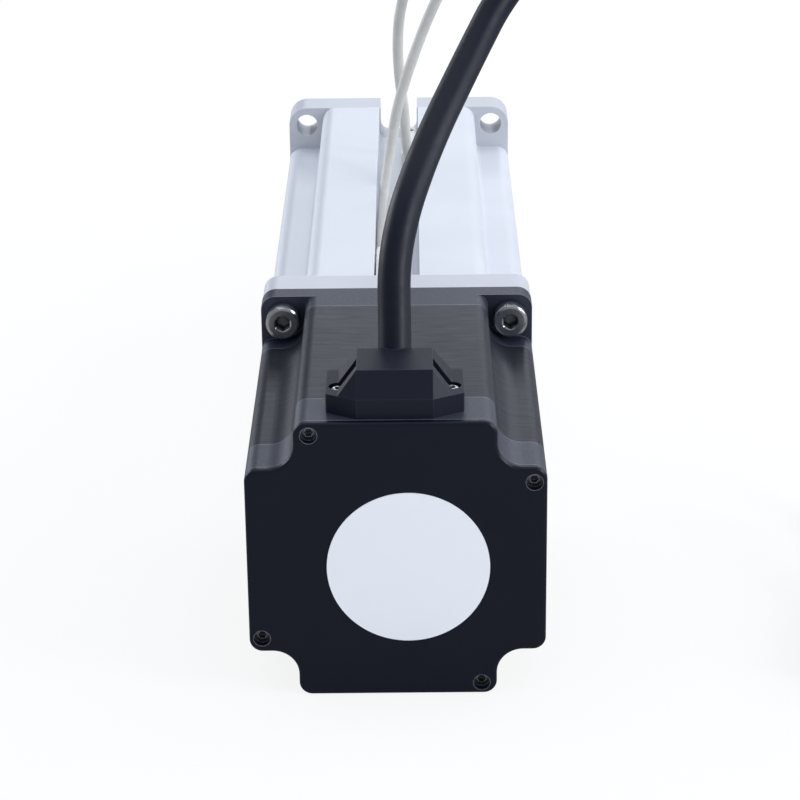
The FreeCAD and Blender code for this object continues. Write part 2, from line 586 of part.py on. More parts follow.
def front_flange():
    """Mounting flange with four through holes, a spigot, and the groove's slot through its top."""
    seat = -LOW_HEAD_H - HEAD_GAP
    plate = bar(square(CYL_W, FLANGE_CORNER_R), FLANGE_REAR, 0)
    plate = plate.fuse(rod(BORE_D - 2 * SLIP, FRONT_SPIGOT_END, FLANGE_REAR)).removeSplitter()
    tools = [rod(ROD_D + 2 * BUSH_WALL + 2 * SLIP, FRONT_SPIGOT_END, 0),
             rod(WIPER_D + 2 * SLIP, -WIPER_T, 0),
             bar(groove_outline(FLANGE_SLOT_W), FLANGE_REAR, 0)]
    for x, z in corners_of(BOLT_SQ):
        tools.append(rod(FLANGE_HOLE, FLANGE_REAR, 0, x, z))
    for x, z in corners_of(PORT_SQ):
        tools.append(rod(M4_D + 2 * SLIP, FLANGE_REAR, 0, x, z))
        tools.append(rod(M4_HEAD_D + 2 * HEAD_GAP, seat, 0, x, z))
    save("front_flange", cut_all(plate, tools))
    save("flange_screws", *[cap_screw(x, z, seat, FLANGE_SCREW_LEN, LOW_HEAD_H, -1)
                            for x, z in corners_of(PORT_SQ)])


def rod_guides():
    """Bush and wiper that the rod slides in, in the front flange."""
    d = ROD_D + 2 * RUN
    save("rod_bush", tube(ROD_D + 2 * BUSH_WALL, d, FRONT_SPIGOT_END, -WIPER_T))
    save("rod_wiper", turned([(WIPER_D, -WIPER_T), (WIPER_D, -0.4), (WIPER_D - 0.8, 0), (d + 3.2, 0),
                              (d + 2.0, 0.8), (d, 0.8), (d, 0.4), (d + 1.2, -0.8), (d + 1.2, -WIPER_T)]))


def bumpers():
    """Rubber rings that the rod's carrier meets at the ends of its stroke."""
    outer = BORE_D - 6 * FREE
    save("rear_bumper", tube(outer, PLATE_BORE, SPIGOT_END, SPIGOT_END + BUMPER_T))
    save("front_bumper", tube(outer, ROD_D + 2 * FREE, FRONT_SPIGOT_END - BUMPER_T, FRONT_SPIGOT_END))


# Rod

def ring_groove(depth, y, width):
    return tube(CARRIER_D + 2, CARRIER_D - 2 * depth, y, y + width)


def key_screw_places():
    return [KEY_REAR + (KEY_FRONT - KEY_REAR) * share for share in (0.25, 0.75)]


def rod_carrier():
    """Piston that holds the nut, the guide ring, the magnet ring, the key and the rod tube."""
    body = rod(CARRIER_D, CARRIER_REAR, CARRIER_FRONT)
    tools = [rod(NUT_D + 2 * SLIP, CARRIER_REAR, CARRIER_STEP),
             rod(ROD_D + 2 * SLIP, CARRIER_STEP, CARRIER_FRONT),
             ring_groove(GUIDE_DEPTH, GUIDE_REAR, GUIDE_W),
             ring_groove(MAGNET_DEPTH, MAGNET_REAR, MAGNET_W),
             block(-KEY_W / 2, KEY_W / 2, KEY_REAR, KEY_FRONT, -CARRIER_D, KEY_TOP)]
    for y in key_screw_places():
        tools.append(post(KEY_SCREW_D + 2 * SLIP, KEY_TOP, KEY_TOP + 1.6, 0, y))
    save("rod_carrier", cut_all(body, tools))


def carrier_rings():
    """Split guide ring that slides in the bore, and the magnet ring that the sensors feel."""
    outer = BORE_D - 2 * RUN
    guide = tube(outer, CARRIER_D - 2 * GUIDE_DEPTH, GUIDE_REAR, GUIDE_REAR + GUIDE_W)
    split = block(0, outer, GUIDE_REAR, GUIDE_REAR + GUIDE_W, -0.4, 0.4)
    save("guide_ring", guide.cut(split))
    inner = CARRIER_D - 2 * MAGNET_DEPTH
    save("magnet_ring", tube(CARRIER_D - 2 * FREE, inner, MAGNET_REAR, MAGNET_REAR + MAGNET_W))


def anti_turn_key():
    """Key that slides in the barrel's keyway, with its two screws."""
    bottom = KEY_TOP - KEY_H
    head_d, head_h = KEY_SCREW_D * 1.9, 1.2
    key = block(-KEY_W / 2, KEY_W / 2, KEY_REAR, KEY_FRONT, bottom, KEY_TOP)
    screws = []
    for y in key_screw_places():
        head = post(head_d, bottom + HEAD_GAP, bottom + HEAD_GAP + head_h, 0, y)
        shank = post(KEY_SCREW_D, bottom + HEAD_GAP, KEY_TOP + 1.4, 0, y)
        screws.append(head.fuse(shank).removeSplitter())
        key = key.cut(post(head_d + 2 * SLIP, bottom, bottom + HEAD_GAP + head_h, 0, y))
        key = key.cut(post(KEY_SCREW_D + 2 * SLIP, bottom, KEY_TOP, 0, y))
    save("anti_turn_key", key)
    save("key_screws", *screws)


def screw_nut():
    """Bronze nut on the screw, held in the carrier by a threaded ring."""
    y0 = CARRIER_REAR + NUT_RING_T
    save("screw_nut", tube(NUT_D, SCREW_D + 2 * RUN, y0, CARRIER_STEP))
    ring = tube(NUT_D, SCREW_D + 4 * FREE, CARRIER_REAR, y0)
    holes = [rod(2.0, CARRIER_REAR, CARRIER_REAR + 2.0, s * (NUT_D + SCREW_D) / 4) for s in (-1, 1)]
    save("nut_ring", cut_all(ring, holes))


def piston_rod():
    """Rod tube and its screwed-in end with two flats and a threaded stud."""
    save("rod_tube", tube(ROD_D, ROD_BORE, CARRIER_STEP, ROD_OUT))
    y0, y1 = ROD_OUT, ROD_OUT + ROD_END_LEN
    plug_d = ROD_BORE - 2 * SLIP
    free = y1 + ROD_NUT_GAP + ROD_NUT_T + ROD_NUT_LEAD
    end = turned([(0, y0 - ROD_PLUG_LEN), (plug_d, y0 - ROD_PLUG_LEN), (plug_d, y0), (ROD_D, y0),
                  (ROD_D, y1 - 1), (ROD_D - 2, y1), (STUD_PITCH_D, y1), (STUD_PITCH_D, free),
                  (STUD_D, free), (STUD_D, y1 + STUD_LEN - 1), (STUD_D - 2, y1 + STUD_LEN),
                  (0, y1 + STUD_LEN)])
    flat = block(ROD_FLATS / 2, ROD_D, y0 + 2, y1, -ROD_D, ROD_D)
    save("rod_end", cut_all(end, [flat, spun(flat, 0.5)]))


def rod_lock_nut():
    y0 = ROD_OUT + ROD_END_LEN + ROD_NUT_GAP
    y1 = y0 + ROD_NUT_T
    across = ROD_NUT_FLATS * 1.16
    dome = turned([(0, y0), (ROD_NUT_FLATS, y0), (across, y0 + 0.9), (across, y1 - 0.9),
                   (ROD_NUT_FLATS, y1), (0, y1)])
    nut = hexagon(ROD_NUT_FLATS, y0, y1).common(dome)
    save("rod_lock_nut", nut.cut(rod(STUD_PITCH_D + 2 * SLIP, y0, y1)))


# Cable gland

def gland_exit():
    """Point and direction at which the motor's cord leaves the gland's sloping front."""
    slope = math.radians(GLAND_SLOPE)
    y = MOTOR_REAR + GLAND_Y + GLAND_TOP_END + GLAND_EXIT * math.cos(slope)
    z = MOTOR_TOP + GLAND_H - GLAND_EXIT * math.sin(slope)
    return at(0, y, z), at(0, math.sin(slope), math.cos(slope))


def gland_screw_places():
    y = MOTOR_REAR + GLAND_Y + GLAND_SCREW_Y
    return [(-GLAND_SCREW_X, y), (GLAND_SCREW_X, y)]


def gland_base():
    """Flat base with a wing on each side, narrower at its rear and front."""
    w, t = GLAND_W / 2, GLAND_TOP_W / 2
    rear = MOTOR_REAR + GLAND_Y
    shoulder, wing, snout = rear + GLAND_SHOULDER, rear + GLAND_WING_LEN, rear + GLAND_SNOUT
    plan = [(-t, rear), (-w, shoulder), (-w, wing), (-t, wing), (-t, snout),
            (t, snout), (t, wing), (w, wing), (w, shoulder), (t, rear)]
    base = polygon([at(x, y, MOTOR_TOP) for x, y in plan]).extrude(at(0, 0, GLAND_BASE_H))
    outer = [e for e in base.Edges
             if e.BoundBox.ZLength > GLAND_BASE_H - 1e-6 and abs(e.BoundBox.XMax) > w - 1e-6]
    return base.makeFillet(GLAND_EDGE_R, outer)


def gland_hip():
    """Block with a flat top that slopes down to the base at its rear and sides."""
    m, t = GLAND_RAMP_W / 2, GLAND_TOP_W / 2
    z1, z2 = MOTOR_TOP + GLAND_BASE_H, MOTOR_TOP + GLAND_H
    rear = MOTOR_REAR + GLAND_Y
    ramp = rear + GLAND_SHOULDER * (m - t) / (GLAND_W / 2 - t)
    wing, a, b = rear + GLAND_WING_LEN, rear + GLAND_TOP_START, rear + GLAND_TOP_END
    points = [at(-t, rear, z1), at(-m, ramp, z1), at(-m, wing, z1), at(m, wing, z1), at(m, ramp, z1),
              at(t, rear, z1), at(-t, a, z2), at(-t, b, z2), at(t, b, z2), at(t, a, z2)]
    faces = [[0, 1, 2, 3, 4, 5], [6, 9, 8, 7], [0, 5, 9, 6], [0, 6, 1], [5, 4, 9],
             [1, 6, 7, 2], [4, 3, 8, 9], [2, 7, 8, 3]]
    solid = Part.Solid(Part.Shell([polygon([points[i] for i in face]) for face in faces]))
    if solid.Volume < 0:
        solid.reverse()
    return solid


def gland_nose():
    """Middle part that slopes down at the front, where the cord comes out."""
    t = GLAND_TOP_W / 2
    z1, z2 = MOTOR_TOP + GLAND_BASE_H, MOTOR_TOP + GLAND_H
    top_end = MOTOR_REAR + GLAND_Y + GLAND_TOP_END
    snout = MOTOR_REAR + GLAND_Y + GLAND_SNOUT
    low = max(z2 - (snout - top_end) * math.tan(math.radians(GLAND_SLOPE)), z1 + HEAD_GAP)
    side = [at(-t, top_end - 1, z1), at(-t, top_end - 1, z2), at(-t, top_end, z2), at(-t, snout, low),
            at(-t, snout, z1)]
    return polygon(side).extrude(at(2 * t, 0, 0))


def cable_gland():
    """Moulded block on the motor's top, with a pocket for a screw on each side."""
    body = gland_base().fuse([gland_hip(), gland_nose()]).removeSplitter()
    pocket_z, over = MOTOR_TOP + GLAND_POCKET_Z, MOTOR_TOP + GLAND_H + 1
    r = GLAND_POCKET_D / 2
    tools = []
    for x, y in gland_screw_places():
        side = math.copysign(GLAND_TOP_W / 2, x)
        tools.append(post(GLAND_POCKET_D, pocket_z, over, x, y))
        tools.append(block(min(side, x), max(side, x), y - r, y + r, pocket_z, over))
        tools.append(post(GLAND_SCREW_D + 2 * SLIP, MOTOR_TOP, over, x, y))
    out, way = gland_exit()
    hole_r = MOTOR_CORD_D / 2 + GLAND_HOLE_GAP
    tools.append(Part.makeCylinder(hole_r, 2 * GLAND_HOLE_DEPTH, out - way * GLAND_HOLE_DEPTH, way))
    save("cable_gland", cut_all(body, tools))


def gland_screws():
    z = MOTOR_TOP + GLAND_POCKET_Z
    screws = []
    for x, y in gland_screw_places():
        head = post(GLAND_SCREW_HEAD, z, z + GLAND_SCREW_HEAD_H, x, y)
        rim = [e for e in head.Edges if e.BoundBox.ZMin > z + GLAND_SCREW_HEAD_H - 1e-6]
        head = head.makeFillet(GLAND_SCREW_HEAD_H * 0.4, rim)
        screws.append(head.fuse(post(GLAND_SCREW_D, MOTOR_TOP, z, x, y)).removeSplitter())
    save("gland_screws", *screws)


# Sensors

def sensor_x(side):
    """The two sides of a sensor that lies beside the groove's left (-1) or right (1) wall."""
    wall = side * (GROOVE_W / 2 - FREE)
    return sorted((wall, wall - side * SENSOR_W))


def sensor(name, side, y0, screw_y):
    x0, x1 = sensor_x(side)
    z0, z1 = GROOVE_FLOOR, GROOVE_FLOOR + SENSOR_H
    left_r, right_r = (GROOVE_R, SENSOR_EDGE_R) if side < 0 else (SENSOR_EDGE_R, GROOVE_R)
    body = bar([(x1, z1, SENSOR_EDGE_R), (x1, z0, right_r), (x0, z0, left_r), (x0, z1, SENSOR_EDGE_R)],
               y0, y0 + SENSOR_LEN)
    save(name, body.cut(post(SENSOR_SCREW_D + 2 * SLIP, z0, z1, (x0 + x1) / 2, screw_y)))


def sensor_screw(side, y):
    """Slotted clamping screw whose cone point meets the groove's floor."""
    x = sum(sensor_x(side)) / 2
    top = GROOVE_FLOOR + SENSOR_H - 0.4
    slot = block(x - SENSOR_SCREW_D, x + SENSOR_SCREW_D, y - 0.25, y + 0.25, top - 0.8, top)
    point = Part.makeCone(SENSOR_POINT_D / 2, SENSOR_SCREW_D / 2, SENSOR_POINT_H, at(x, y, GROOVE_FLOOR))
    shank = post(SENSOR_SCREW_D, GROOVE_FLOOR + SENSOR_POINT_H, top, x, y)
    return shank.fuse(point).cut(slot).removeSplitter()


def sensors():
    """Two sensors, each with a clamping screw near its closed end."""
    rear_end = BARREL_REAR + REAR_SENSOR_Y
    front_end = FLANGE_REAR - FRONT_SENSOR_Y
    sensor("rear_sensor", -1, rear_end, rear_end + SENSOR_SCREW_Y)
    sensor("front_sensor", 1, front_end - SENSOR_LEN, front_end - SENSOR_SCREW_Y)
    save("sensor_screws", sensor_screw(-1, rear_end + SENSOR_SCREW_Y),
         sensor_screw(1, front_end - SENSOR_SCREW_Y))


# Cords

def cord_points(start, rise, fall, rest_z):
    points = [start]
    points += [start + at(x, y, z) for x, y, z in rise]
    points += [at(start.x + x, start.y + y, rest_z + z) for x, y, z in fall]
    return points


def cord(d, points):
    """Round cord along the points: straight runs joined by tangent bends."""
    edges = []
    leave = points[0]
    for before, here, after in zip(points, points[1:], points[2:]):
        back, ahead = before - here, after - here
        reach = BEND_SHARE * min(back.Length, ahead.Length)
        back.normalize()
        ahead.normalize()
        half = back.getAngle(ahead) / 2
        inward = (back + ahead).normalize()
        start, end = here + back * reach, here + ahead * reach
        middle = here + inward * (reach / math.cos(half) - reach * math.tan(half))
        edges.append(Part.LineSegment(leave, start).toShape())
        edges.append(Part.Arc(start, middle, end).toShape())
        leave = end
    edges.append(Part.LineSegment(leave, points[-1]).toShape())
    ring = Part.Wire(Part.makeCircle(d / 2, points[0], points[1] - points[0]))
    return Part.Wire(edges).makePipeShell([ring], True, False)


def motor_cable():
    """The motor's cord, from the bottom of the gland's hole, and the round plug on its end."""
    out, way = gland_exit()
    start = out - way * GLAND_HOLE_DEPTH
    points = cord_points(start, MOTOR_CORD_RISE, MOTOR_CORD_FALL, REST_Z + PLUG_D / 2)
    save("motor_cable", cord(MOTOR_CORD_D, points))
    end = points[-1]
    plug = turned([(0, 0), (PLUG_NECK_D - 1, 0), (PLUG_NECK_D, -PLUG_NECK_LEN),
                   (PLUG_D - 1, -PLUG_NECK_LEN), (PLUG_D, -PLUG_NECK_LEN - 0.5), (PLUG_D, -PLUG_LEN + 0.8),
                   (PLUG_D - 1.6, -PLUG_LEN), (0, -PLUG_LEN)])
    save("motor_cable_plug", plug.translated(end))


def sensor_cables():
    rest_z = REST_Z + SENSOR_CORD_D / 2
    rear = at(REAR_CORD_X, BARREL_REAR + REAR_SENSOR_Y + SENSOR_LEN, REAR_CORD_Z)
    front = at(FRONT_CORD_X, FLANGE_REAR - FRONT_SENSOR_Y - SENSOR_LEN, FRONT_CORD_Z)
    rear_points = cord_points(rear, REAR_CORD_RISE, REAR_CORD_FALL, rest_z)
    front_points = cord_points(front, FRONT_CORD_RISE, FRONT_CORD_FALL, rest_z)
    save("rear_sensor_cable", cord(SENSOR_CORD_D, rear_points))
    save("front_sensor_cable", cord(SENSOR_CORD_D, front_points))


def build():
    os.makedirs("parts", exist_ok=True)
    rear_cover()
    round_label()
    tie_rods()
    motor_rear_cap()
    motor_front_cap()
    motor_bearings()
    bearing_holders()
    stator_stack()
    stator_windings()
    rotor()
    motor_screws()
    screw_shaft()
    bearing_lock_nut()
    screw_tip()
    adapter_plate()
    barrel()
    front_flange()
    rod_guides()
    bumpers()
    rod_carrier()
    carrier_rings()
    anti_turn_key()
    screw_nut()
    piston_rod()
    rod_lock_nut()
    cable_gland()
    gland_screws()
    sensors()
    motor_cable()
    sensor_cables()


build()
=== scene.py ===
import bpy
import bmesh
import json
import math
from mathutils import Matrix, Vector


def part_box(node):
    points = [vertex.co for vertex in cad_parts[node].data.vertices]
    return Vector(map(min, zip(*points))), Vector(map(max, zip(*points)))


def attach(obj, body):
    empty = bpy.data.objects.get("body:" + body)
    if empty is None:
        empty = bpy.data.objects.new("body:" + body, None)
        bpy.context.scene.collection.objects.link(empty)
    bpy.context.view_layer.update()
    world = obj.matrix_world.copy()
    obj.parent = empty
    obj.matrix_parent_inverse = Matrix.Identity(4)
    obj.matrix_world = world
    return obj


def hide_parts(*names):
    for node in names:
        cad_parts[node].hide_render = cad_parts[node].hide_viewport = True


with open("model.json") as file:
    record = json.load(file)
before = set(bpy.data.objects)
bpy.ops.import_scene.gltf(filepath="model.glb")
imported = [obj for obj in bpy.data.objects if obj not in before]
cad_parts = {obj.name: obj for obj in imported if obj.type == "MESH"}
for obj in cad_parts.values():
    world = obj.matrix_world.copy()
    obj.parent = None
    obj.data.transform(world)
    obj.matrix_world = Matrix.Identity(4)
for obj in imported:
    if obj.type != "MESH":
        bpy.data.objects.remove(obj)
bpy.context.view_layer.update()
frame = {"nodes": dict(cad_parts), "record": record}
NODES = frame["nodes"]
MM = 0.001


# Camera, fitted to the photograph: place in mm, angles in radians

CAMERA_PLACE = (4.271, -666.266, 217.737)
CAMERA_YAW, CAMERA_PITCH, CAMERA_ROLL = -0.0073, 0.3908, -0.0122
CAMERA_LENS, CAMERA_SENSOR = 119.35, 36.0


def make_camera():
    data = bpy.data.cameras.new("photo_camera")
    data.lens, data.sensor_width, data.sensor_fit = CAMERA_LENS, CAMERA_SENSOR, "HORIZONTAL"
    data.clip_start, data.clip_end = 0.01, 20.0
    camera = bpy.data.objects.new("photo_camera", data)
    bpy.context.collection.objects.link(camera)
    level = math.cos(CAMERA_PITCH)
    ahead = Vector((math.sin(CAMERA_YAW) * level, math.cos(CAMERA_YAW) * level, -math.sin(CAMERA_PITCH)))
    right = Vector((math.cos(CAMERA_YAW), -math.sin(CAMERA_YAW), 0.0))
    up = right.cross(ahead)
    c, s = math.cos(CAMERA_ROLL), math.sin(CAMERA_ROLL)
    rolled_right, rolled_up = right * c + up * s, up * c - right * s
    turn = Matrix((rolled_right, rolled_up, -ahead)).transposed().to_4x4()
    camera.matrix_world = Matrix.Translation(Vector(CAMERA_PLACE) * MM) @ turn
    bpy.context.scene.camera = camera


make_camera()


# Colours and materials

def linear(hex_colour):
    """sRGB hex colour to linear RGBA."""
    values = []
    for i in (1, 3, 5):
        v = int(hex_colour[i:i + 2], 16) / 255
        values.append(v / 12.92 if v <= 0.04045 else ((v + 0.055) / 1.055) ** 2.4)
    return (*values, 1.0)


def add(tree, kind, sockets=None, **settings):
    """Adds a node. sockets gives its inputs, each a value or another node's output."""
    node = tree.nodes.new(kind)
    for name, value in settings.items():
        setattr(node, name, value)
    for key, value in (sockets or {}).items():
        if isinstance(value, bpy.types.NodeSocket):
            tree.links.new(value, node.inputs[key])
        else:
            node.inputs[key].default_value = value
    return node


MIX_A, MIX_B, MIX_RESULT = 6, 7, 2   # the colour sockets of a Mix node
EDGE_HIGHLIGHT_MM = 0.22                       # width of the painted edge highlight, about one pixel of the photograph
FACE_AGREES, EDGE_AGREES = 0.995, 0.88   # how far rounded and flat normals agree on a face and an edge
RECESS_MM = 1.6                      # how near a wall has to be for a recess to get painted shade
RECESS_OPEN, FACE_OPEN = 0.45, 0.9   # how open a recess and a face are
CLOUD_MM = 1000 / 60                 # size of the wide, faint unevenness that every surface has
GRAIN_LOW, GRAIN_HIGH = 0.3, 0.7     # range in which nearly all of the grain's values lie
BOTH_LOW, BOTH_HIGH = 0.15, 0.4      # the same for the grain times the unevenness


def paint_edge_highlight(tree, tint, colour):
    """Mixes a paler colour in along the piece's edges: a painted highlight where they catch the light."""
    rounded = add(tree, "ShaderNodeBevel", {"Radius": EDGE_HIGHLIGHT_MM * MM}, samples=6)
    flat = add(tree, "ShaderNodeNewGeometry")
    same = add(tree, "ShaderNodeVectorMath", {0: rounded.outputs[0], 1: flat.outputs["Normal"]},
               operation="DOT_PRODUCT")
    edge = add(tree, "ShaderNodeMapRange", {"Value": same.outputs["Value"], "From Min": FACE_AGREES,
                                            "From Max": EDGE_AGREES})
    return add(tree, "ShaderNodeMix", {0: edge.outputs[0], MIX_A: tint.outputs[MIX_RESULT],
                                       MIX_B: linear(colour)}, data_type="RGBA")


def paint_recess_shade(tree, tint, colour):
    """Mixes a darker colour in where a surface lies deep: painted shade, as in a screw's socket."""
    reach = add(tree, "ShaderNodeAmbientOcclusion", {"Distance": RECESS_MM * MM}, samples=6)
    room = add(tree, "ShaderNodeMapRange", {"Value": reach.outputs["AO"], "From Min": RECESS_OPEN,
                                            "From Max": FACE_OPEN})
    return add(tree, "ShaderNodeMix", {0: room.outputs[0], MIX_A: linear(colour),
                                       MIX_B: tint.outputs[MIX_RESULT]}, data_type="RGBA")


def surface(name, colour, roughness, grain_mm, bump_mm, shade=0.08, swing=0.06,
            stretch=(1, 1, 1), sockets=None, edges=None, recess_shade=None):
    """A material with one grain, which varies its colour, its roughness and its height.

    shade is how much darker its dull spots are, swing is how much its roughness varies, and stretch
    makes the grain longer where it is small. Some real grains are finer than 0.3 mm. They would not
    show in the picture, so they are drawn coarser, at 0.3 mm or more.
    """
    mat = bpy.data.materials.new(name)
    mat.use_nodes = True
    tree = mat.node_tree
    shader = tree.nodes["Principled BSDF"]
    for key, value in (sockets or {}).items():
        shader.inputs[key].default_value = value
    place = add(tree, "ShaderNodeTexCoord")
    fit = add(tree, "ShaderNodeMapping", {"Vector": place.outputs["Object"],
                                          "Scale": [s / (grain_mm * MM) for s in stretch]})
    grain = add(tree, "ShaderNodeTexNoise", {"Vector": fit.outputs[0], "Scale": 1.0, "Detail": 3.0,
                                             "Roughness": 0.55})
    cloud = add(tree, "ShaderNodeTexNoise", {"Vector": place.outputs["Object"], "Scale": 1 / (CLOUD_MM * MM),
                                             "Detail": 2.0})
    both = add(tree, "ShaderNodeMath", {0: grain.outputs[0], 1: cloud.outputs[0]}, operation="MULTIPLY")
    full = linear(colour)
    dull = [v * (1 - 2 * shade) for v in full[:3]] + [1.0]
    ramp = add(tree, "ShaderNodeMapRange", {"Value": both.outputs[0], "From Min": BOTH_LOW,
                                            "From Max": BOTH_HIGH})
    tint = add(tree, "ShaderNodeMix", {0: ramp.outputs[0], MIX_A: dull, MIX_B: full}, data_type="RGBA")
    # a painted highlight along the edges and painted shade in the recesses go into the colour here
    if edges:
        tint = paint_edge_highlight(tree, tint, edges)
    # painted shade in recesses, from how open the surface is
    if recess_shade:
        tint = paint_recess_shade(tree, tint, recess_shade)
    tree.links.new(tint.outputs[MIX_RESULT], shader.inputs["Base Color"])
    rough = add(tree, "ShaderNodeMapRange", {"Value": grain.outputs[0], "From Min": GRAIN_LOW,
                                             "From Max": GRAIN_HIGH, "To Min": roughness - swing,
                                             "To Max": roughness + swing})
    tree.links.new(rough.outputs[0], shader.inputs["Roughness"])
    bump = add(tree, "ShaderNodeBump", {"Height": grain.outputs[0], "Distance": bump_mm * MM,
                                        "Strength": 1.0})
    tree.links.new(bump.outputs[0], shader.inputs["Normal"])
    return mat


METAL = {"Metallic": 1.0}
PLASTIC = {"IOR": 1.5}


def dim(level, **more):
    """Sockets of a surface that mirrors little of its surroundings."""
    return {"IOR": 1.5, "Specular IOR Level": level, **more}


SHEET_RIPPLE_MM = 0.0035   # height of the ripple that the sheets' edges leave


def laminated_steel(name, colour, sheet_mm, roughness):
    """Stacked sheets seen from their edges: fine lines across the motor, painted over thinly."""
    # the stack's outer edges get a painted highlight
    mat = surface(name, colour, roughness, 0.7, 0.008, shade=0.2, swing=0.09,
                  stretch=(0.12, 2.4, 0.12), sockets={"Metallic": 0.35, "Specular IOR Level": 0.45},
                  edges="#9A9CA4")
    tree = mat.node_tree
    place = add(tree, "ShaderNodeTexCoord")
    split = add(tree, "ShaderNodeSeparateXYZ", {0: place.outputs["Object"]})
    turns = add(tree, "ShaderNodeMath", {0: split.outputs[1], 1: 2 * math.pi / (sheet_mm * MM)},
                operation="MULTIPLY")
    line = add(tree, "ShaderNodeMath", {0: turns.outputs[0]}, operation="SINE")
    bump = add(tree, "ShaderNodeBump", {"Height": line.outputs[0], "Distance": SHEET_RIPPLE_MM * MM,
                                        "Strength": 1.0})
    shader = tree.nodes["Principled BSDF"]
    before = shader.inputs["Normal"].links[0].from_socket
    tree.links.new(before, bump.inputs["Normal"])
    tree.links.new(bump.outputs[0], shader.inputs["Normal"])
    return mat


FINISHES = {
    # bead-blasted and clear anodised: a pale, even, slightly blue matt surface, with a painted highlight
    # along its edges
    "anodised_aluminium": surface("anodised_aluminium", "#E2E5EB", 0.42, 0.35, 0.005, shade=0.02,
                                  sockets={"Metallic": 0.3}, edges="#F2F4F8"),
    # machined aluminium: bright, with faint streaks along its length
    "machined_aluminium": surface("machined_aluminium", "#C3C6CA", 0.34, 0.8, 0.004, shade=0.05,
                                  stretch=(1, 0.1, 1), sockets=METAL),
    # die-cast caps with a thin dark paint: smooth, with a soft gloss at a flat view, and a painted highlight
    # along their edges
    "grey_cast_aluminium": surface("painted_cast_aluminium", "#333848", 0.40, 0.6, 0.006, shade=0.05,
                                   sockets=dim(0.62, Metallic=0.22), edges="#A0A2AA"),
    # punched sheets half a millimetre thick: short fine streaks across the motor, a dull metal sheen, and a
    # painted highlight along the edges
    "lamination_steel": laminated_steel("laminated_steel", "#272B38", 0.5, 0.38),
    # powder-coated sheet: near black with a trace of blue, satin, with a very fine orange peel and a painted
    # highlight along its edges
    "black_steel": surface("powder_coated_steel", "#081122", 0.36, 0.5, 0.003, shade=0.1,
                           sockets=dim(0.35), edges="#7C808A"),
    # matt polyester film: an even white without gloss
    "white_label": surface("matt_polyester_label", "#F0F2F5", 0.55, 0.4, 0.001, shade=0.01,
                           sockets=PLASTIC),
    # zinc-plated steel: bright and smooth, with painted shade in its recesses and a painted white highlight
    # along its edges
    "bright_steel": surface("zinc_plated_steel", "#DCDDDE", 0.24, 0.9, 0.0003, shade=0.03, swing=0.03,
                            sockets=METAL, edges="#FFFFFF", recess_shade="#2A2A2C"),
    # ground bearing steel: a near mirror
    "bearing_steel": surface("ground_bearing_steel", "#B9BBBD", 0.16, 0.6, 0.001, sockets=METAL),
    # blued spring steel: dark with a cold sheen
    "spring_steel": surface("blued_spring_steel", "#4A4E58", 0.3, 0.6, 0.002, sockets=METAL),
    # enamelled wire: red-brown and glossy, ribbed along the wires
    "copper_winding": surface("enamelled_copper_wire", "#B4562A", 0.3, 0.5, 0.06, shade=0.2,
                              stretch=(1, 0.05, 1), sockets={"Metallic": 0.8}),
    # punched rotor sheets, ground outside: grey with fine lines round the axis
    "rotor_steel": surface("rotor_laminations", "#8C8E92", 0.35, 0.6, 0.01, stretch=(0.1, 2, 0.1),
                           sockets=METAL),
    # sintered magnet: dull grey and slightly grainy
    "magnet": surface("sintered_magnet", "#5A5C60", 0.45, 0.4, 0.01, sockets=METAL),
    # hard-chromed and polished rod: a mirror with a trace of grinding
    "chromed_steel": surface("hard_chromed_steel", "#D6D8DA", 0.12, 0.5, 0.0006, shade=0.02, swing=0.03,
                             sockets=METAL),
    # turned tin bronze: warm yellow-brown, half bright
    "bronze": surface("tin_bronze", "#B58A4E", 0.34, 0.7, 0.004, sockets=METAL),
    # moulded nitrile rubber: dull dark grey
    "rubber_black": surface("nitrile_rubber", "#1B1C1E", 0.6, 0.3, 0.006, sockets=PLASTIC),
    # moulded black nylon: fine spark-eroded texture, a dull sheen on the slopes, and a painted highlight
    # along its edges
    "plastic_black": surface("moulded_nylon", "#121829", 0.48, 0.3, 0.008, shade=0.1,
                             sockets=dim(0.36), edges="#464A58"),
    # turned acetal: milky white with a slight gloss
    "plastic_natural": surface("acetal", "#E4E0D2", 0.4, 0.6, 0.003, shade=0.03, sockets=PLASTIC),
    # moulded polyamide: white, faintly warm, half matt
    "sensor_plastic": surface("moulded_polyamide", "#FAFAF2", 0.4, 0.4, 0.004, shade=0.02,
                              sockets=PLASTIC),
    # extruded PVC jackets: smooth, slightly waxy, faintly uneven from the cores inside
    "cable_black": surface("black_pvc_jacket", "#0B1426", 0.46, 2.5, 0.02, shade=0.12,
                           sockets=dim(0.36)),
    "cable_grey": surface("grey_pvc_jacket", "#CBC9C3", 0.45, 1.6, 0.02, shade=0.05, sockets=PLASTIC),
}
# the milled plates are coloured a little darker than the extruded barrel, with a painted highlight along
# their edges
MILLED = surface("anodised_milled_aluminium", "#D2D4DA", 0.42, 0.5, 0.004, shade=0.03,
                 stretch=(1, 1, 0.3), sockets={"Metallic": 0.3}, edges="#F0F2F6")
# the rear cap has the front cap's paint, drawn paler as painted light, with a painted highlight along its
# edges
REAR_CAP_PALER_BY_LIGHT = surface("rear_cap_paint_paler_by_light", "#3F4453", 0.40, 0.6, 0.006, shade=0.05,
                     sockets=dim(0.66, Metallic=0.28), edges="#A8AAB2")
# black-oxide steel of grub screws and tie rods: a dulled mid grey, with a painted glint along its edges
BLACKED = surface("blacked_steel", "#6E7074", 0.26, 0.4, 0.0005, sockets=METAL, edges="#E0E2E4")
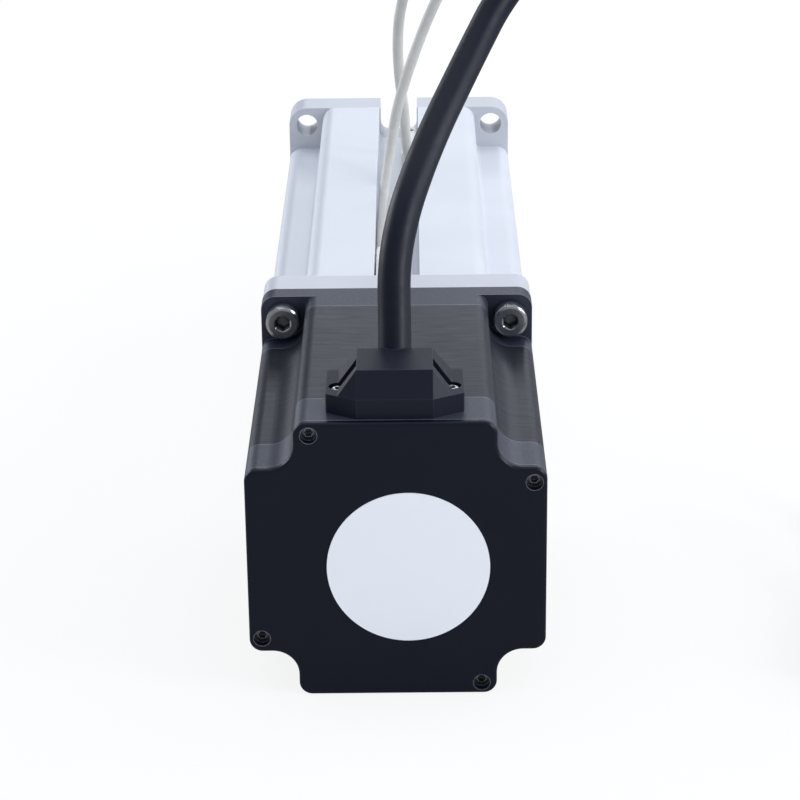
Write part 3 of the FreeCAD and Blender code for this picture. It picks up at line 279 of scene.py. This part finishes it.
# the cores' PVC: three plain half-matt colours, and tin-bright strands at their ends
CORE_BROWN = surface("brown_core", "#4A2C1C", 0.5, 0.5, 0.002, sockets=PLASTIC)
CORE_BLUE = surface("blue_core", "#2B4C8C", 0.5, 0.5, 0.002, sockets=PLASTIC)
CORE_BLACK = surface("black_core", "#15161A", 0.5, 0.5, 0.002, sockets=PLASTIC)
TINNED = surface("tinned_copper", "#C4C6C4", 0.3, 0.3, 0.01, sockets=METAL)
SLOTS = {part["node"]: part["material_slot"] for part in frame["record"]["subparts"]}


def coat(obj, mat):
    """Gives an object one material."""
    obj.data.materials.clear()
    obj.data.materials.append(mat)
    return obj


OWN_FINISH = {"adapter_plate": MILLED, "front_flange": MILLED, "motor_rear_cap": REAR_CAP_PALER_BY_LIGHT,
              "sensor_screws": BLACKED, "tie_rods": BLACKED}


def finish_nodes():
    """Gives every solid its finish."""
    for name, obj in NODES.items():
        mat = OWN_FINISH.get(name) or FINISHES[SLOTS[name]]
        for material_slot in obj.material_slots:
            material_slot.material = mat
        if not obj.material_slots:
            obj.data.materials.append(mat)


finish_nodes()


# Meshes

def piece(name, mesh_or_curve, slot, body, mat=None, *replaced):
    """Puts a new piece in the scene: its finish (its own, or its slot's), the body it rides and what it
    replaces.
    """
    obj = bpy.data.objects.new(name, mesh_or_curve)
    bpy.context.collection.objects.link(obj)
    coat(obj, mat or FINISHES[slot])
    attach(obj, body)
    if replaced:
        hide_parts(*replaced)
    return obj


SEGMENTS = 96
KNURL_DEPTH, KNURL_RIDGES = 0.09, 48


def ring_radius(shape, r, angle):
    """Radius of a ring at an angle: round, hexagonal (r is half its width over flats) or knurled."""
    if shape == "hex":
        return r / math.cos((angle + math.pi / 6) % (math.pi / 3) - math.pi / 6)
    if shape == "knurl":
        return r - KNURL_DEPTH * (0.5 + 0.5 * math.cos(KNURL_RIDGES * angle))
    return r


def lathe(bm, rings, place, along):
    """Adds a closed turned form. rings are (radius, height, shape) in mm, along a direction."""
    axis = Vector(along).normalized()
    side = axis.orthogonal().normalized()
    if abs(axis.y) > 0.9:
        side = Vector((1, 0, 0))
    other = axis.cross(side)
    origin = Vector(place)
    rows = []
    for r, h, shape in rings:
        row = []
        for i in range(SEGMENTS):
            a = 2 * math.pi * i / SEGMENTS
            reach = ring_radius(shape, r, a)
            point = origin + axis * h + (side * math.cos(a) + other * math.sin(a)) * reach
            row.append(bm.verts.new(point * MM))
        rows.append(row)
    for low, high in zip(rows, rows[1:]):
        for i in range(SEGMENTS):
            j = (i + 1) % SEGMENTS
            bm.faces.new((low[i], low[j], high[j], high[i]))
    for row, h in ((rows[0], rings[0][1]), (rows[-1], rings[-1][1])):
        middle = bm.verts.new((origin + axis * h) * MM)
        for i in range(SEGMENTS):
            bm.faces.new((row[i], row[(i + 1) % SEGMENTS], middle))


THREAD_FLAT = 0.12   # share of the pitch that the crest's flat takes, and the root's flat too


def thread_radius(angle, y, y0, y1, minor, major, pitch):
    """Radius of a thread's flank form at one point. The thread runs out at both ends."""
    phase = (y / pitch - angle / (2 * math.pi)) % 1.0
    off = abs(phase - 0.5) * 2
    fall = min(max((off - THREAD_FLAT) / (1 - 2 * THREAD_FLAT), 0.0), 1.0)
    ends = min(1.0, (y - y0) / pitch, (y1 - y) / pitch)
    return minor + (major - minor) * (1 - fall) * max(ends, 0.0)


def thread_rings(bm, y0, y1, minor, major, pitch, steps, x=0.0, z=0.0, count=48):
    """A threaded stretch along y with both ends closed. steps is its number of rings per pitch."""
    rows = []
    n = int((y1 - y0) / pitch * steps)
    for k in range(n + 1):
        y = y0 + (y1 - y0) * k / n
        row = []
        for i in range(count):
            a = 2 * math.pi * i / count
            r = thread_radius(a, y, y0, y1, minor, major, pitch)
            row.append(bm.verts.new(Vector((x + r * math.cos(a), y, z + r * math.sin(a))) * MM))
        rows.append(row)
    for low, high in zip(rows, rows[1:]):
        for i in range(count):
            j = (i + 1) % count
            bm.faces.new((low[i], high[i], high[j], low[j]))
    for row, y in ((rows[0], y0), (rows[-1], y1)):
        middle = bm.verts.new(Vector((x, y, z)) * MM)
        for i in range(count):
            bm.faces.new((row[i], row[(i + 1) % count], middle))


def to_mesh(bm, name, angle=35):
    """Mesh with outward faces, smooth but for edges sharper than the angle."""
    bmesh.ops.recalc_face_normals(bm, faces=bm.faces)
    for face in bm.faces:
        face.smooth = True
    for edge in bm.edges:
        if len(edge.link_faces) == 2 and edge.calc_face_angle(0.0) > math.radians(angle):
            edge.smooth = False
    mesh = bpy.data.meshes.new(name)
    bm.to_mesh(mesh)
    bm.free()
    return mesh


def corners_of(spacing):
    """Four places in a square round the axis."""
    h = spacing / 2
    return [(sx * h, sz * h) for sx, sz in ((1, 1), (1, -1), (-1, -1), (-1, 1))]


def node_mm(name):
    """Low and high corner of a solid's box, in mm."""
    low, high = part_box(name)
    return [v / MM for v in low], [v / MM for v in high]


# Cords, on the routes of their solids (points in mm)

MOTOR_CORD = [
    (0, -201.862, 31.22), (0, -196.8, 40.0), (-0.1, -191.8, 50.0), (1.8, -186.2, 58.3),
    (4.9, -178.4, 65.0), (8.3, -168.9, 70.3), (12.5, -159.4, 76.2), (16.7, -150.9, 82.2),
    (21.4, -144.2, 89.5), (31.2, -138.3, 100.0), (45.2, -135.8, 106.4), (60.8, -136.1, 106.8),
    (75.2, -137.8, 101.1), (86.1, -140.5, 90.4), (92.1, -143.0, 76.2), (92.2, -144.8, 55.8),
    (92.4, -145.9, 31.3), (92.2, -145.7, 7.2), (91.2, -152.4, -7.3), (89.8, -164.7, -17.6),
    (88.9, -180.2, -21.7), (88.9, -190.0, -21.7)]
REAR_CORD = [
    (-3.2, -110.5, 23.2), (-3.6, -100.4, 22.6), (-3.6, -89.4, 22.9), (-3.4, -78.9, 24.6),
    (-2.7, -70.4, 28.6), (-1.5, -64.9, 35.0), (0.0, -62.4, 43.5), (3.3, -61.9, 54.0),
    (7.8, -62.6, 66.0), (13.0, -64.9, 77.0), (22.0, -69.4, 87.5), (34.5, -75.9, 95.0),
    (49.0, -84.4, 99.0), (63.5, -93.9, 99.5), (76.0, -102.4, 95.5), (87.0, -109.9, 88.0),
    (91.8, -116.4, 71.5), (92.4, -122.6, 50.0), (92.2, -127.9, 28.0), (91.8, -130.9, 6.0),
    (91.5, -134.4, -13.0), (91.2, -141.4, -25.0), (91.0, -153.4, -26.95), (91.0, -165.4, -26.95)]
FRONT_CORD = [
    (2.9, -39.4, 23.4), (3.3, -45.7, 23.4), (3.0, -51.4, 26.6), (1.9, -53.8, 32.5),
    (1.7, -54.2, 40.0), (0.5, -54.8, 49.0), (0.2, -55.4, 58.0), (1.0, -55.8, 66.0),
    (4.5, -57.4, 78.0), (12.5, -60.4, 90.5), (25.0, -65.4, 100.0), (40.5, -72.9, 105.0),
    (57.0, -82.4, 106.0), (72.0, -92.9, 101.5), (84.5, -102.4, 94.0), (91.5, -109.9, 78.0),
    (94.0, -116.4, 57.5), (94.2, -122.0, 34.0), (94.2, -125.4, 10.0), (94.2, -129.0, -11.0),
    (94.2, -137.4, -24.5), (94.2, -149.9, -26.95), (94.2, -162.4, -26.95)]
MOTOR_CORD_D, SENSOR_CORD_D = 6.3, 2.5


def round_curve(name, points, d):
    """A round cord along its points."""
    curve = bpy.data.curves.new(name, "CURVE")
    curve.dimensions = "3D"
    curve.resolution_u, curve.bevel_resolution = 12, 8
    curve.bevel_depth = d / 2 * MM
    curve.use_fill_caps = True
    spline = curve.splines.new("NURBS")
    spline.points.add(len(points) - 1)
    for knot, point in zip(spline.points, points):
        knot.co = (*(Vector(point) * MM), 1.0)
    spline.order_u = 3
    spline.use_endpoint_u = True
    return curve


NECK_RIBS, NECK_RIB_PITCH = 4, 1.4
CONTACT_OFF = 1.8   # from the plug's axis to a contact


def plug_mesh():
    """Round in-line plug: ribbed neck, smooth body, knurled coupling ring and four contacts."""
    x, y, z = MOTOR_CORD[-1]
    bm = bmesh.new()
    rings = [(3.6, 0.0, ""), (3.9, 0.3, "")]
    for k in range(NECK_RIBS):
        h = NECK_RIB_PITCH * k
        rings += [(4.2, 0.5 + h, ""), (4.2, 1.2 + h, ""), (3.6, 1.3 + h, ""), (3.6, 1.8 + h, "")]
    rings += [(5.9, 6.0, ""), (6.4, 6.5, ""), (6.4, 13.5, ""), (6.1, 13.8, ""), (6.1, 14.3, ""),
              (6.5, 14.5, "knurl"), (6.5, 23.0, "knurl"), (6.2, 23.4, ""), (6.2, 25.2, ""),
              (5.6, 26.0, ""), (5.0, 26.0, ""), (5.0, 20.0, "")]
    lathe(bm, rings, (x, y, z), (0, -1, 0))
    for cx, cz in ((1, 0), (-1, 0), (0, 1), (0, -1)):
        place = (x + cx * CONTACT_OFF, y, z + cz * CONTACT_OFF)
        lathe(bm, [(0.5, 20.0, ""), (0.5, 24.0, ""), (0.3, 24.5, "")], place, (0, -1, 0))
    return to_mesh(bm, "motor_cable_plug_shell")


CORE_D, TIP_D = 0.8, 0.5
CORE_GAP, CORE_SPREAD = 0.7, 0.5   # between the cores in the jacket, and how far each spreads beyond it
CORE_DROP = 0.7                    # how far they come down towards the floor


def core_pieces(prefix, end):
    """Three bare cores at the end of a sensor's cord, each with a tinned tip. They spread to the left."""
    x, y, z = end
    made = []
    for i, mat in enumerate((CORE_BROWN, CORE_BLUE, CORE_BLACK)):
        start = x + (i - 2) * CORE_GAP + 0.3
        spread = (i - 2) * CORE_SPREAD
        last_x, low = start + spread, z - CORE_DROP
        points = [(start, y + 1.0, z), (start, y - 2.0, z), (start + spread * 0.6, y - 6.0, z - 0.4),
                  (last_x, y - 10.0, low), (last_x, y - 13.0, low)]
        core = piece("%s_core_%d" % (prefix, i), round_curve(prefix + "_core", points, CORE_D),
                     "cable_grey", "base", mat)
        tip = [points[-1], (last_x, y - 15.0, low), (last_x, y - 17.0, low)]
        bare = piece("%s_tip_%d" % (prefix, i), round_curve(prefix + "_tip", tip, TIP_D),
                     "bright_steel", "base", TINNED)
        made += [core, bare]
    return made


def cords():
    """The motor's cord with its plug, and the two sensors' cords with their bare cores."""
    plug = piece("motor_cable_plug_body", plug_mesh(), "plastic_black", "base", None, "motor_cable_plug")
    jacket = piece("motor_cable_jacket", round_curve("motor_cable_jacket", MOTOR_CORD, MOTOR_CORD_D),
                   "cable_black", "base", None, "motor_cable")
    for name, node, points, length in (
            ("rear_sensor_jacket", "rear_sensor_cable", REAR_CORD, 0.332),
            ("front_sensor_jacket", "front_sensor_cable", FRONT_CORD, 0.319)):
        thin = piece(name, round_curve(name, points, SENSOR_CORD_D), "cable_grey", "base", None, node)
        core_pieces(name, points[-1])


cords()


# Screws

BOLT_SQ, PORT_SQ = 47.14, 29.4       # spacing of the motor's screws and of the barrel's
TALL_HEAD, LOW_HEAD = 4.0, 2.8       # heights of the screws' heads
SOCKET_SHARE = 0.6                   # depth of the socket in the head
SCREW_ROOT_R, SCREW_CREST_R, SCREW_PITCH = 1.62, 2.0, 0.7
THREAD_START, THREAD_SHORT = 1.3, 0.3   # how far the thread keeps from the head and from the tip
SHARP_EDGE = 20                      # a screw's edges are drawn sharp from this angle on


def cap_screw_rings(head_h, length):
    """Socket head cap screw from its socket's bottom over its knurled head to its shank's end."""
    top = -head_h
    return [(1.5, top + head_h * SOCKET_SHARE, "hex"), (1.5, top + 0.12, "hex"), (1.8, top, ""),
            (2.9, top, ""), (3.25, top + 0.15, ""), (3.5, top + 0.4, ""), (3.5, top + 0.5, "knurl"),
            (3.5, -0.35, "knurl"), (3.3, -0.05, ""), (3.2, 0.0, ""), (2.0, 0.0, ""), (2.0, 1.2, ""),
            (1.7, 1.4, ""), (1.7, length - 0.4, ""), (1.4, length, "")]


def cap_screws(name, node, spacing, way, head_h, length):
    """Four cap screws in a square. way is 1 where they point forwards and -1 where backwards."""
    low, high = node_mm(node)
    seat = low[1] + head_h if way > 0 else high[1] - head_h
    bm = bmesh.new()
    for x, z in corners_of(spacing):
        lathe(bm, cap_screw_rings(head_h, length), (x, seat, z), (0, way, 0))
        a, b = seat + way * THREAD_START, seat + way * (length - THREAD_SHORT)
        thread_rings(bm, min(a, b), max(a, b), SCREW_ROOT_R, SCREW_CREST_R, SCREW_PITCH, 6, x, z, 24)
    piece(name, to_mesh(bm, name, SHARP_EDGE), "bright_steel", "base", None, node)


cap_screws("motor_cap_screws", "motor_screws", BOLT_SQ, 1, TALL_HEAD, 12.0)
cap_screws("plate_cap_screws", "plate_screws", PORT_SQ, 1, LOW_HEAD, 12.0)
cap_screws("flange_cap_screws", "flange_screws", PORT_SQ, -1, LOW_HEAD, 16.0)


PAN_HEAD_R = 1.65


def gland_pan_screws():
    """Two small round-headed screws with a hexagon socket."""
    low, high = node_mm("gland_screws")
    y = (low[1] + high[1]) / 2
    bm = bmesh.new()
    for x in (low[0] + PAN_HEAD_R, high[0] - PAN_HEAD_R):
        rings = [(1.0, 0.0, ""), (1.0, 2.4, ""), (PAN_HEAD_R, 2.4, ""), (PAN_HEAD_R, 3.0, ""),
                 (1.5, 3.35, ""), (1.15, 3.55, ""), (0.75, 3.6, ""), (0.62, 3.55, "hex"),
                 (0.4, 3.0, "hex")]
        lathe(bm, rings, (x, y, low[2]), (0, 0, 1))
    piece("gland_pan_screws", to_mesh(bm, "gland_pan_screws"), "bright_steel", "base", None, "gland_screws")


gland_pan_screws()


# Rod end

STUD_LEN = 22.0
STUD_ROOT_R, STUD_CREST_R, STUD_PITCH = 4.35, 5.02, 1.5


def rod_stud():
    """The stud's rolled thread, whose crests stand just out of the plain solid."""
    tip = node_mm("rod_end")[1][1]
    bm = bmesh.new()
    thread_rings(bm, tip - STUD_LEN + 0.4, tip - 0.05, STUD_ROOT_R, STUD_CREST_R, STUD_PITCH, 10)
    piece("rod_stud_thread", to_mesh(bm, "rod_stud_thread"), "bright_steel", "rod")


rod_stud()


# Soft edges on the solids that show

SOFT_EDGES_MM = {"cable_gland": 0.25, "adapter_plate": 0.3, "front_flange": 0.3, "barrel": 0.15,
                 "stator_stack": 0.25, "motor_front_cap": 0.25, "motor_rear_cap": 0.25, "rear_cover": 0.15}
SOFT_FROM_ANGLE = 40


def soften(name, width_mm):
    """Rounds a solid's sharp edges a little."""
    bevel = NODES[name].modifiers.new("soft_edges", "BEVEL")
    bevel.width = width_mm * MM
    bevel.segments = 2
    bevel.limit_method = "ANGLE"
    bevel.angle_limit = math.radians(SOFT_FROM_ANGLE)
    bevel.use_clamp_overlap = True
    bevel.harden_normals = True


for soft_name, soft_width in SOFT_EDGES_MM.items():
    soften(soft_name, soft_width)


# Floor, light and background

FLOOR_Z, FLOOR_GAP = -28.2, 0.02     # height under the part, and how far the floor lies below it
FLOOR_REACH = 4.0                    # half its width, in metres
FLOOR_GLOW = 0.2                     # how bright it looks in a mirroring surface
FLOOR_SHARE = 0.85                   # share of its own white in the picture; the rest takes the shadow
ROOM_LIGHT, ROOM_MIRRORED = 0.72, 0.28   # strength of the room as light and in mirroring surfaces


def floor_material():
    """A pale floor, white to the camera but for the part's soft shadow."""
    mat = bpy.data.materials.new("pale_floor")
    mat.use_nodes = True
    tree = mat.node_tree
    shader = tree.nodes["Principled BSDF"]
    shader.inputs["Base Color"].default_value = linear("#F4F4F4")
    shader.inputs["Roughness"].default_value = 0.9
    path = add(tree, "ShaderNodeLightPath")
    bright = add(tree, "ShaderNodeMapRange", {"Value": path.outputs["Is Camera Ray"],
                                              "To Min": FLOOR_GLOW, "To Max": 1.0})
    glow = add(tree, "ShaderNodeEmission", {"Color": (1, 1, 1, 1), "Strength": bright.outputs[0]})
    seen = add(tree, "ShaderNodeMath", {0: path.outputs["Is Camera Ray"], 1: path.outputs["Is Glossy Ray"]},
               operation="MAXIMUM")
    share = add(tree, "ShaderNodeMath", {0: seen.outputs[0], 1: FLOOR_SHARE}, operation="MULTIPLY")
    mix = add(tree, "ShaderNodeMixShader", {0: share.outputs[0], 1: shader.outputs[0], 2: glow.outputs[0]})
    tree.links.new(mix.outputs[0], tree.nodes["Material Output"].inputs["Surface"])
    return mat


def make_floor():
    """A wide flat floor just below the part."""
    bm = bmesh.new()
    bmesh.ops.create_grid(bm, x_segments=1, y_segments=1, size=FLOOR_REACH)
    mesh = bpy.data.meshes.new("floor")
    bm.to_mesh(mesh)
    bm.free()
    floor = bpy.data.objects.new("floor", mesh)
    bpy.context.collection.objects.link(floor)
    floor.location.z = (FLOOR_Z - FLOOR_GAP) * MM
    mesh.materials.append(floor_material())


def make_world():
    """A white background round a room of faintly blue light."""
    world = bpy.data.worlds.new("studio")
    bpy.context.scene.world = world
    world.use_nodes = True
    tree = world.node_tree
    lit = tree.nodes["Background"]
    lit.inputs["Color"].default_value = linear("#E6ECF8")
    white = add(tree, "ShaderNodeBackground", {"Color": (1, 1, 1, 1), "Strength": 1.0})
    path = add(tree, "ShaderNodeLightPath")
    room = add(tree, "ShaderNodeMapRange", {"Value": path.outputs["Is Glossy Ray"],
                                            "To Min": ROOM_LIGHT, "To Max": ROOM_MIRRORED})
    tree.links.new(room.outputs[0], lit.inputs["Strength"])
    mix = add(tree, "ShaderNodeMixShader", {0: path.outputs["Is Camera Ray"], 1: lit.outputs[0],
                                            2: white.outputs[0]})
    tree.links.new(mix.outputs[0], tree.nodes["World Output"].inputs["Surface"])


LAMP_COLOUR = linear("#F5F9FF")[:3]
AIM = (0.0, -0.12, 0.0)              # the middle of the part, at which every lamp points
SOFTBOXES = (                        # name, place and size in metres, and power in watts
    ("overhead_softbox", (-0.05, 0.0, 0.95), (1.0, 1.0), 1.7),
    ("right_softbox", (0.8, 0.3, 0.42), (0.8, 0.7), 4.3),
    ("right_rear_softbox", (0.7, -0.5, 0.4), (0.3, 0.5), 3.2),
    ("left_softbox", (-0.8, 0.4, 0.3), (0.8, 0.5), 4.3),
    ("back_softbox", (0.28, 1.0, 0.55), (1.0, 0.4), 1.8))


def softbox(name, place, size, energy):
    """A rectangular lamp that points at the part."""
    data = bpy.data.lights.new(name, "AREA")
    data.shape = "RECTANGLE"
    data.size, data.size_y = size
    data.energy = energy
    data.color = LAMP_COLOUR
    lamp = bpy.data.objects.new(name, data)
    bpy.context.collection.objects.link(lamp)
    lamp.location = place
    lamp.rotation_euler = (Vector(AIM) - Vector(place)).to_track_quat("-Z", "Y").to_euler()


make_floor()
make_world()
for box in SOFTBOXES:
    softbox(*box)

scene = bpy.context.scene
scene.view_settings.view_transform = "Standard"
